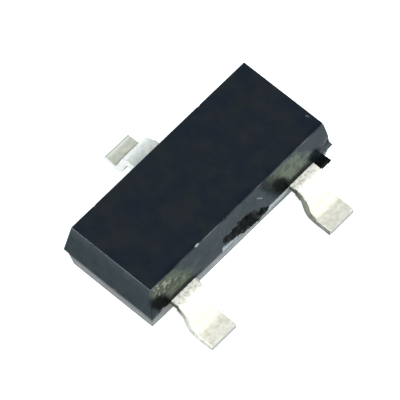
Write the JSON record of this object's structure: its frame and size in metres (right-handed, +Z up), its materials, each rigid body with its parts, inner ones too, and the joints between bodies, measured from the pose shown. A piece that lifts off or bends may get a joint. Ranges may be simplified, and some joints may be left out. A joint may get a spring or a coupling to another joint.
{
  "type": "esd protection diode",
  "caption": "Surface-mount ESD protection diode: black moulded epoxy case with tin-plated gull-wing leads that solder to a board.",
  "frame": {"origin": "middle of the footprint, on the plane that the feet stand on", "axes": "+X along the case, the two-lead side faces -Y, +Z up out of the board"},
  "size_m": [0.0028, 0.0024, 0.0009],
  "materials": {
    "epoxy": "satin moulded epoxy",
    "tin_plate": "matte tin plate",
    "silicon": "polished",
    "silver_adhesive": "matte",
    "gold_wire": "bright"
  },
  "bodies": {
    "root": {"body": "epoxy", "lead_1": "tin_plate", "lead_2": "tin_plate", "lead_3": "tin_plate", "die": "silicon", "die_attach": "silver_adhesive", "bond_wire_1": "gold_wire", "bond_wire_2": "gold_wire"}
  },
  "joints": []
}
